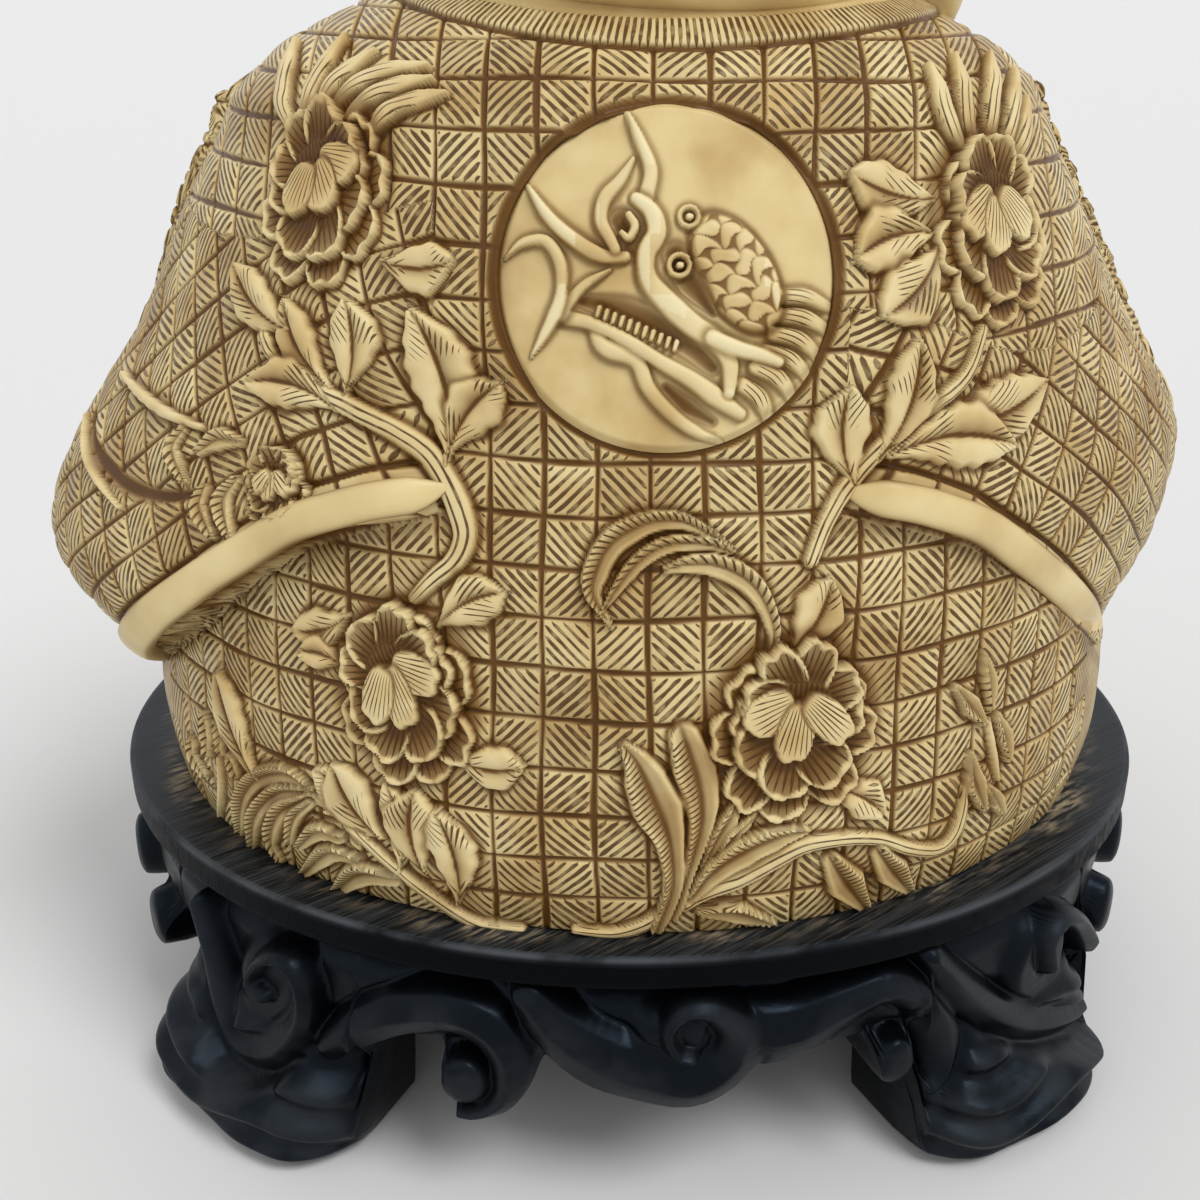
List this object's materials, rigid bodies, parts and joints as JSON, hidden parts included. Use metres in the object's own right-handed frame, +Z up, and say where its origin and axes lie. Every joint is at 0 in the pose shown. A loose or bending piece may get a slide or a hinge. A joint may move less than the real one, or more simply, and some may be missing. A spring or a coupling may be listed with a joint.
{
  "type": "statuette on stand",
  "caption": "Seated robed figure of cast ivory-coloured resin with a round back medallion, on a black carved oval stand",
  "frame": {"origin": "floor level, middle of the outer box", "axes": "+Z up, the figure looks toward -Y, its left hand is at +X"},
  "size_m": [0.2977, 0.2442, 0.3659],
  "materials": {
    "resin_body": "satin cast resin, ivory with brown stain in the carving",
    "resin_smooth": "satin cast resin, plain ivory",
    "plug_wood": "bare board",
    "stand_black": "black satin lacquer with rubbed edges",
    "felt": "dark felt",
    "steel": "plain steel"
  },
  "bodies": {
    "root": {"figure_body": "resin_body", "head": "resin_smooth", "left_hand": "resin_smooth", "right_hand": "resin_smooth", "peach": "resin_smooth", "medallion": "resin_smooth", "figure_plug": "plug_wood", "stand_board": "stand_black", "stand_frame": "stand_black", "board_screw_1": "steel", "board_screw_2": "steel", "board_screw_3": "steel", "board_screw_4": "steel", "fixing_screw_1": "steel", "fixing_screw_2": "steel", "fixing_washer_1": "steel", "fixing_washer_2": "steel", "foot_pad_1": "felt", "foot_pad_2": "felt", "foot_pad_3": "felt", "foot_pad_4": "felt"}
  },
  "joints": []
}
